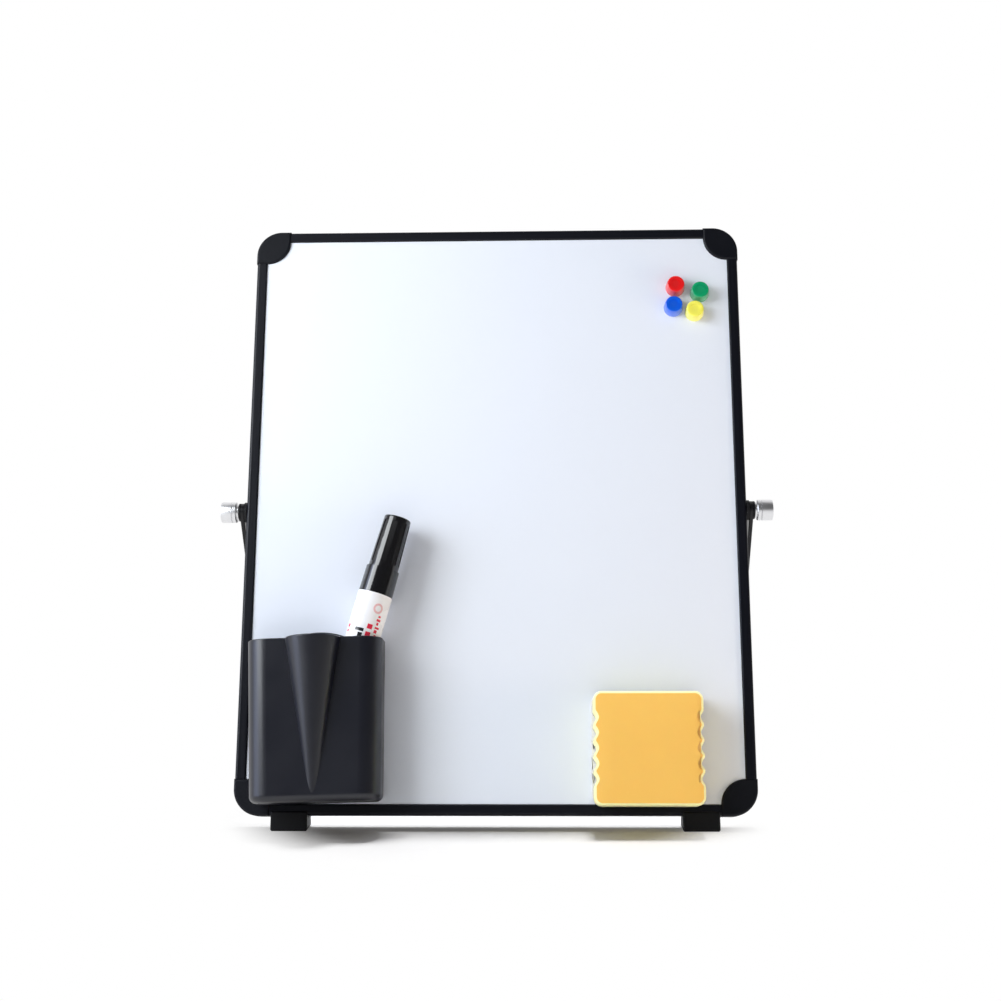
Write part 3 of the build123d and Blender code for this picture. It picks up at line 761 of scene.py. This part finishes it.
def closed_cell_foam(name, colour, to_frame):
    """Closed-cell foam: soft, matt, pin-sized cells, a little light passing under the skin."""
    material, tree, shader = new_material(name, IOR=1.45)
    shader.inputs["Specular IOR Level"].default_value = 0.2
    shader.inputs["Sheen Weight"].default_value = 0.1
    shader.inputs["Subsurface Weight"].default_value = 0.15
    shader.inputs["Subsurface Radius"].default_value = (2.0, 1.0, 0.4)
    shader.inputs["Subsurface Scale"].default_value = 1.0 * MM
    local = coordinates(tree, to_frame)
    inputs = {"Vector": local, "Scale": 1 / (0.7 * MM)}     # real cells are 0.3 mm, drawn to show
    cells = add(tree, "ShaderNodeTexVoronoi", inputs, feature="F1")
    patches = speckle(tree, local, 6, 3)
    foam = blend(tree, patches, opaque(colour, 0.97), opaque(colour))
    tree.links.new(foam, shader.inputs["Base Color"])
    tree.links.new(spread(tree, patches, 0.7, 0.85), shader.inputs["Roughness"])
    roughen(tree, shader, cells.outputs["Distance"], 0.04, 0.5)
    return material


def pressed_felt():
    """Pressed white wool felt: matt, matted fibres, faintly grey where it has wiped."""
    material, tree, shader = new_material("pressed_wool_felt", IOR=1.45)
    shader.inputs["Specular IOR Level"].default_value = 0.15
    shader.inputs["Sheen Weight"].default_value = 0.4
    shader.inputs["Sheen Roughness"].default_value = 0.5
    vector = coordinates(tree)
    fibres = speckle(tree, vector, 0.9, 5, stretch=(1, 0.6, 1.4))
    finish_surface(tree, shader, ("#CFCDC9", "#F3F1EC"), fibres, (0.9, 1.0), fibres)
    roughen(tree, shader, fibres, 0.15)
    return material


FIBRE_LAYERS = 2
FIBRE_ROOT_IN = 0.2 * MM           # how deep a fibre starts inside the felt
FIBRE_SWAY = 0.5 * MM
FIBRE_RADII = (0.035 * MM, 0.015 * MM)
FELT_LUMPS = 900                   # per metre
FELT_UNEVEN = 0.12 * MM


def felt_fibres(outline, thickness, to_frame):
    """Short loose fibres that stand out of the felt's edge, as thin closed three-sided tubes."""
    bm = bmesh.new()
    for i, (point, normal) in enumerate(zip(*outline)):
        for layer in range(FIBRE_LAYERS):
            seed = Vector((i * 0.731, layer * 3.17, 0.5))   # any places that differ will do
            lift = (0.15 + 0.7 * noise.noise(seed) ** 2 + 0.35 * layer) * thickness
            length = (0.35 + 0.3 * noise.noise(seed * 1.7)) * MM
            sway = Vector([noise.noise(seed * scale) for scale in (2.3, 3.1, 4.3)])
            root = Vector((*(point - normal * FIBRE_ROOT_IN), lift))
            tip = root + Vector((*(normal * length), 0)) + sway * FIBRE_SWAY
            axis = (tip - root).normalized()
            across = axis.orthogonal().normalized()
            rings = []
            for end, radius in zip((root, tip), FIBRE_RADII):
                ring = []
                for k in range(3):
                    offset = Matrix.Rotation(k * 2 * math.pi / 3, 3, axis) @ across * radius
                    ring.append(bm.verts.new(to_frame @ (end + offset)))
                rings.append(ring)
            for k in range(3):
                j = (k + 1) % 3
                bm.faces.new((rings[0][k], rings[0][j], rings[1][j], rings[1][k]))
            bm.faces.new(list(reversed(rings[0])))
            bm.faces.new(rings[1])
    bm.normal_update()
    mesh = bpy.data.meshes.new("felt_fibres")
    bm.to_mesh(mesh)
    bm.free()
    return mesh


def foam_block(shape):
    """Foam with its coloured face, and a pale rounded rim and sides that are a painted highlight.
    """
    to_frame, size = node_frame("eraser_foam")
    outline = eraser_outline(shape, size.x, size.y)
    top, radius = size.z - shape.crown, shape.rim_radius
    waist = (0.06 * MM, size.z * 0.35)                      # the cut side is a little hollow
    rings = [(0.0, 0.0), waist, (0.0, top - radius)]
    for i in range(1, RIM_STEPS + 1):
        a = math.radians(90 * i / RIM_STEPS)
        rings.append((radius * (1 - math.cos(a)), top - radius * (1 - math.sin(a))))
    face_ring = len(rings) - 2
    rings.append((radius + 0.5 * MM, size.z))
    foam = layered_block("eraser_foam_block", outline, rings, to_frame, face_ring)
    # the pale rim and sides are a painted highlight; only the face keeps the foam's own colour
    rim = closed_cell_foam("closed_cell_foam_pressed_rim", shape.rim, to_frame)
    piece = add_object("eraser_foam_block", foam, rim, "eraser")
    foam.materials.append(closed_cell_foam("closed_cell_foam_face", shape.face, to_frame))
    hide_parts("eraser_foam")


def felt_pad(shape):
    """Felt with soft edges, a slightly uneven surface and loose fibres."""
    to_frame, size = node_frame("eraser_felt")
    outline = eraser_outline(shape, size.x, size.y)
    soft = 0.3 * MM                                         # height of the softened edges
    rings = [(0.25 * MM, 0.0), (0.0, soft), (0.12 * MM, size.z * 0.5)]
    rings += [(0.0, size.z - soft), (0.2 * MM, size.z)]
    felt = layered_block("eraser_felt_pad", outline, rings, to_frame)
    for vertex in felt.vertices:
        vertex.co += vertex.normal * noise.noise(vertex.co * FELT_LUMPS) * FELT_UNEVEN
    material = pressed_felt()
    piece = add_object("eraser_felt_pad", felt, material, "eraser")
    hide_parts("eraser_felt")
    fuzz = felt_fibres(outline, size.z, to_frame)
    add_object("eraser_felt_fibres", fuzz, material, "eraser")


class EASEL_OT_eraser(bpy.types.Operator):
    """Build the foam and felt of the eraser, and finish its magnet sheet"""

    bl_idname = "easel.eraser"
    bl_label = "Eraser"

    def execute(self, context):
        foam_block(context.scene.easel_eraser)
        felt_pad(context.scene.easel_eraser)
        dress(["eraser_magnet_sheet"], ferrite_rubber())
        return {"FINISHED"}


# ------------------------------------------------------------------ round magnets
class MagnetFinish(bpy.types.PropertyGroup):
    red: colour_setting("Red", "Colour of the red button", "#E81A1C")
    green: colour_setting("Green", "Colour of the green button", "#06A068")
    blue: colour_setting("Blue", "Colour of the blue button", "#0560E4")
    yellow: colour_setting("Yellow", "Colour of the yellow button", "#FFF766")


FACE_RADIUS, SKIRT_RADIUS = 4.0 * MM, 4.8 * MM      # where the painted glow on a button's skirt starts, and where it is palest
DARK_CENTRE_RADIUS, DARK_CENTRE_FADE = 1.2 * MM, 2.2 * MM         # where its darker centre starts to fade, and where it is gone


def tinted_acrylic(colour, name, centre):
    """Moulded translucent acrylic: saturated face, a painted glow that pales the skirt, and a face
    a little darker towards its centre.
    """
    material, tree, shader = new_material(f"tinted_acrylic_{name}", IOR=1.49, Roughness=0.2)
    shader.inputs["Subsurface Weight"].default_value = 0.3
    shader.inputs["Subsurface Radius"].default_value = (1.0, 1.0, 1.0)
    shader.inputs["Subsurface Scale"].default_value = 1.0 * MM
    local = coordinates(tree, centre)
    x, y, _ = add(tree, "ShaderNodeSeparateXYZ", {0: local}).outputs
    flat = add(tree, "ShaderNodeCombineXYZ", {0: x, 1: y}).outputs[0]
    radius = distance_from_axis(tree, flat)
    # painted glow: the skirt pales towards its edge, as if lit through the acrylic
    painted_skirt_glow = spread(tree, radius, 0.0, 0.35, at=(FACE_RADIUS, SKIRT_RADIUS))
    # the face is a little darker towards its centre
    darker_centre = spread(tree, radius, 0.25, 0.0, at=(DARK_CENTRE_RADIUS, DARK_CENTRE_FADE))
    swirl = speckle(tree, local, 3, 2)
    body = blend(tree, swirl, opaque(colour, 0.95), opaque(colour))
    second_tone = blend(tree, darker_centre, body, opaque(colour, 0.75, 0.02))
    tree.links.new(blend(tree, painted_skirt_glow, second_tone, opaque(colour, 0.6, 0.4)), shader.inputs["Base Color"])
    return material


def sintered_ferrite():
    """Sintered ferrite: charcoal, fine-pored."""
    material, tree, shader = new_material("sintered_ferrite", IOR=1.8)
    pores = speckle(tree, coordinates(tree), 0.8, 4)
    finish_surface(tree, shader, ("#1D1D1E", "#343436"), pores, (0.55, 0.8), pores)
    roughen(tree, shader, pores, 0.02)
    return material


class EASEL_OT_round_magnets(bpy.types.Operator):
    """Finish the four coloured buttons and their discs"""

    bl_idname = "easel.round_magnets"
    bl_label = "Round magnets"

    def execute(self, context):
        finish = context.scene.easel_magnets
        ferrite = sintered_ferrite()
        for name in COLOURS:
            centre, _ = node_frame(f"magnet_{name}_button")
            dress([f"magnet_{name}_button"], tinted_acrylic(getattr(finish, name), name, centre))
            dress([f"magnet_{name}_disc"], ferrite)
        return {"FINISHED"}


# ------------------------------------------------------------------ studio
class StudioSettings(bpy.types.PropertyGroup):
    key: bpy.props.FloatProperty(
        name="Main softbox", description="Power, front left", unit="POWER", default=5.5
    )
    panel: bpy.props.FloatProperty(
        name="Side panel",
        description="Power of the cool panel on the left",
        unit="POWER",
        default=4.5,
    )
    front: bpy.props.FloatProperty(
        name="Front panel",
        description="Power of the large weak panel above and in front",
        unit="POWER",
        default=0.8,
    )
    fill: bpy.props.FloatProperty(
        name="Warm fill", description="Power, low on the right", unit="POWER", default=0.7
    )
    overhead: bpy.props.FloatProperty(
        name="Overhead lamp",
        description="Strength of the distant lamp in the board's own plane",
        min=0,
        max=10,
        default=2.3,
    )
    lens: bpy.props.FloatProperty(
        name="Lens",
        description="Camera's focal length in millimetres",
        min=20,
        max=200,
        default=54.13,
    )
    front_glow: bpy.props.FloatProperty(
        name="Front ambience",
        description="Light from the dim half of the studio",
        min=0,
        max=2,
        default=0.12,
    )
    back_glow: bpy.props.FloatProperty(
        name="Back ambience",
        description="Light from the bright backdrop",
        min=0,
        max=2,
        default=0.6,
    )


FLOOR_HALF = 4.0                   # metres
FLOOR_BELOW = 0.05 * MM            # keeps the floor clear of the feet
# the floor fades to plain white round an ellipse with half axes of 1/8 and 1/7.5 metre, and
# the fade starts and ends at these shares of them
FADE_SCALES = (8.0, 7.5, 0.0)
FADE_START, FADE_END = 0.75, 1.15
BACKDROP_START, BACKDROP_END = -0.25, 0.45     # how far back a direction points

# name, power setting, place from the pivot, width and height, colour
SOFTBOXES = (
    ("main_softbox", "key", (-0.6, -0.42, 0.34), (0.42, 0.5), (0.93, 0.97, 1.0)),
    ("side_panel", "panel", (-1.0, -0.34, 0.1), (0.55, 0.9), (0.66, 0.74, 1.0)),
    ("front_panel", "front", (-0.36, -0.9, 0.9), (0.6, 0.6), (0.95, 0.98, 1.0)),
    ("warm_fill", "fill", (0.45, -0.11, -0.1), (0.15, 0.15), (1.0, 0.74, 0.5)),
)
FLAGGED = ("main_softbox", "side_panel", "front_panel")
OVERHEAD_FROM = (0.03, 0.27, 1.0)
OVERHEAD_ANGLE = math.radians(7)   # its width in the sky, which softens the shadow's edge

CAMERA_AT = Vector((0.02494, PIVOT.y - 0.756, 0.157))
CAMERA_YAW, CAMERA_ROLL = math.radians(1.705), math.radians(-0.296)
SENSOR_WIDTH = 36                  # millimetres


def studio_floor():
    """White paper sweep: lit near the easel, and plain white where it meets the backdrop."""
    bm = bmesh.new()
    bmesh.ops.create_grid(bm, x_segments=8, y_segments=8, size=FLOOR_HALF)
    bmesh.ops.translate(bm, verts=bm.verts, vec=(0, 0, -FLOOR_BELOW))
    mesh = bpy.data.meshes.new("studio_floor")
    bm.to_mesh(mesh)
    bm.free()
    material, tree, shader = new_material("white_paper_sweep", IOR=1.45, Roughness=0.9)
    shader.inputs["Specular IOR Level"].default_value = 0.0
    vector = coordinates(tree)
    fibre = speckle(tree, vector, 4, 3)
    paper = blend(tree, fibre, linear("#FBFBFC"), linear("#FEFEFF"))
    tree.links.new(paper, shader.inputs["Base Color"])
    scaled = add(tree, "ShaderNodeVectorMath", {0: vector, 1: FADE_SCALES}, operation="MULTIPLY")
    distance = distance_from_axis(tree, scaled.outputs[0])
    inputs = {0: distance, 1: FADE_START, 2: FADE_END, 3: 0.0, 4: 1.0}
    far = add(tree, "ShaderNodeMapRange", inputs, interpolation_type="SMOOTHSTEP").outputs[0]
    path = add(tree, "ShaderNodeLightPath").outputs
    seen = path["Is Camera Ray"]
    for ray in ("Is Glossy Ray", "Is Transmission Ray"):
        seen = add(tree, "ShaderNodeMath", {0: seen, 1: path[ray]}, operation="MAXIMUM").outputs[0]
    share = add(tree, "ShaderNodeMath", {0: seen, 1: far}, operation="MULTIPLY").outputs[0]
    white = add(tree, "ShaderNodeEmission", {"Color": WHITE, "Strength": 1.0})
    mixed = add(tree, "ShaderNodeMixShader", {0: share, 1: shader.outputs[0], 2: white.outputs[0]})
    tree.links.new(mixed.outputs[0], tree.nodes["Material Output"].inputs["Surface"])
    floor = bpy.data.objects.new("studio_floor", mesh)
    bpy.context.scene.collection.objects.link(floor)
    mesh.materials.append(material)
    return floor


def studio_world(settings):
    """White backdrop behind the easel, dim studio in front; the eye sees plain white all round."""
    world = bpy.data.worlds.new("studio")
    bpy.context.scene.world = world
    world.use_nodes = True
    tree = world.node_tree
    tree.nodes.clear()
    direction = add(tree, "ShaderNodeTexCoord").outputs["Generated"]
    depth = add(tree, "ShaderNodeSeparateXYZ", {0: direction}).outputs[1]
    inputs = {0: depth, 1: BACKDROP_START, 2: BACKDROP_END, 3: 0.0, 4: 1.0}
    behind = add(tree, "ShaderNodeMapRange", inputs, interpolation_type="SMOOTHSTEP").outputs[0]

    def from_front_to(back):
        inputs = {0: behind, 2: settings.front_glow, 3: back}
        return add(tree, "ShaderNodeMix", inputs, data_type="FLOAT").outputs[0]

    path = add(tree, "ShaderNodeLightPath").outputs
    inputs = {0: path["Is Glossy Ray"]}
    inputs.update({2: from_front_to(settings.back_glow), 3: from_front_to(1.0)})
    glow = add(tree, "ShaderNodeMix", inputs, data_type="FLOAT").outputs[0]
    seen = {0: path["Is Camera Ray"], 1: path["Is Transmission Ray"]}
    seen = add(tree, "ShaderNodeMath", seen, operation="MAXIMUM").outputs[0]
    strength = add(tree, "ShaderNodeMix", {0: seen, 2: glow, 3: 1.0}, data_type="FLOAT").outputs[0]
    shown = add(tree, "ShaderNodeBackground", {"Color": WHITE, "Strength": strength})
    output = add(tree, "ShaderNodeOutputWorld", {"Surface": shown.outputs[0]})
    output.is_active_output = True


def add_lamp(name, kind, offset, power, colour):
    """Lamp at an offset from the pivot, turned towards it."""
    data = bpy.data.lights.new(name, kind)
    data.energy = power
    data.color = colour
    lamp = bpy.data.objects.new(name, data)
    bpy.context.scene.collection.objects.link(lamp)
    lamp.location = PIVOT + Vector(offset)
    lamp.rotation_euler = (PIVOT - lamp.location).to_track_quat("-Z", "Y").to_euler()
    return lamp


def softbox(name, offset, size, power, colour):
    """Rectangular lamp turned towards the pivot."""
    lamp = add_lamp(name, "AREA", offset, power, colour)
    lamp.data.shape = "RECTANGLE"
    lamp.data.size, lamp.data.size_y = size
    return lamp


def flag_off(lamp, floor):
    """Keep a lamp's light off the floor, as a flag does in a studio."""
    shaded = bpy.data.collections.new(f"{lamp.name}_flag")
    shaded.objects.link(floor)
    lamp.light_linking.receiver_collection = shaded
    shaded.collection_objects[0].light_linking.link_state = "EXCLUDE"


def studio_lamps(settings, floor):
    """Softboxes kept off the floor, a fill without a reflection, and a distant lamp overhead."""
    lamps = {}
    for name, power, offset, size, colour in SOFTBOXES:
        lamps[name] = softbox(name, offset, size, getattr(settings, power), colour)
    lamps["warm_fill"].visible_glossy = False
    for name in FLAGGED:
        flag_off(lamps[name], floor)
    overhead = add_lamp("overhead_lamp", "SUN", OVERHEAD_FROM, settings.overhead, WHITE[:3])
    overhead.data.angle = OVERHEAD_ANGLE
    overhead.visible_glossy = False


def studio_camera(settings):
    """Camera almost square to the easel's front, a little to the right of its middle."""
    data = bpy.data.cameras.new("camera")
    data.lens = settings.lens
    data.sensor_width = SENSOR_WIDTH
    data.clip_start = 10 * MM
    camera = bpy.data.objects.new("camera", data)
    bpy.context.scene.collection.objects.link(camera)
    upright = Matrix.Rotation(math.pi / 2, 4, "X")
    turn = Matrix.Rotation(CAMERA_YAW, 4, "Z") @ upright @ Matrix.Rotation(CAMERA_ROLL, 4, "Z")
    camera.matrix_world = Matrix.Translation(CAMERA_AT) @ turn
    bpy.context.scene.camera = camera


class EASEL_OT_studio(bpy.types.Operator):
    """Set up the floor, the backdrop, the lamps and the camera"""

    bl_idname = "easel.studio"
    bl_label = "Studio"

    def execute(self, context):
        settings = context.scene.easel_studio
        floor = studio_floor()
        studio_world(settings)
        studio_lamps(settings, floor)
        studio_camera(settings)
        context.scene.view_settings.view_transform = "Standard"
        return {"FINISHED"}


# ------------------------------------------------------------------ panel and registration
STEPS = (
    EASEL_OT_board,
    EASEL_OT_frame,
    EASEL_OT_pivots,
    EASEL_OT_stand,
    EASEL_OT_pen_cup,
    EASEL_OT_marker,
    EASEL_OT_eraser,
    EASEL_OT_round_magnets,
    EASEL_OT_studio,
)
SETTINGS = {
    "easel_board": BoardFinish,
    "easel_frame": FrameFinish,
    "easel_metal": MetalFinish,
    "easel_cup": CupFinish,
    "easel_marker": MarkerFinish,
    "easel_eraser": EraserShape,
    "easel_magnets": MagnetFinish,
    "easel_studio": StudioSettings,
}


class EASEL_PT_panel(bpy.types.Panel):
    """Sizes, colours and steps of the easel"""

    bl_idname = "EASEL_PT_panel"
    bl_label = "Whiteboard Easel"
    bl_space_type = "VIEW_3D"
    bl_region_type = "UI"
    bl_category = "Easel"

    def draw(self, context):
        for name, group in SETTINGS.items():
            box = self.layout.box()
            for key in group.__annotations__:
                box.prop(getattr(context.scene, name), key)
        for step in STEPS:
            self.layout.operator(step.bl_idname)


def register():
    for cls in (*SETTINGS.values(), *STEPS, EASEL_PT_panel):
        bpy.utils.register_class(cls)
    for name, group in SETTINGS.items():
        setattr(bpy.types.Scene, name, bpy.props.PointerProperty(type=group))


def unregister():
    for name in SETTINGS:
        delattr(bpy.types.Scene, name)
    for cls in reversed((*SETTINGS.values(), *STEPS, EASEL_PT_panel)):
        bpy.utils.unregister_class(cls)


def main():
    """Build everything in order."""
    register()
    for step in STEPS:
        group, name = step.bl_idname.split(".")
        getattr(getattr(bpy.ops, group), name)()


if __name__ == "__main__":
    main()
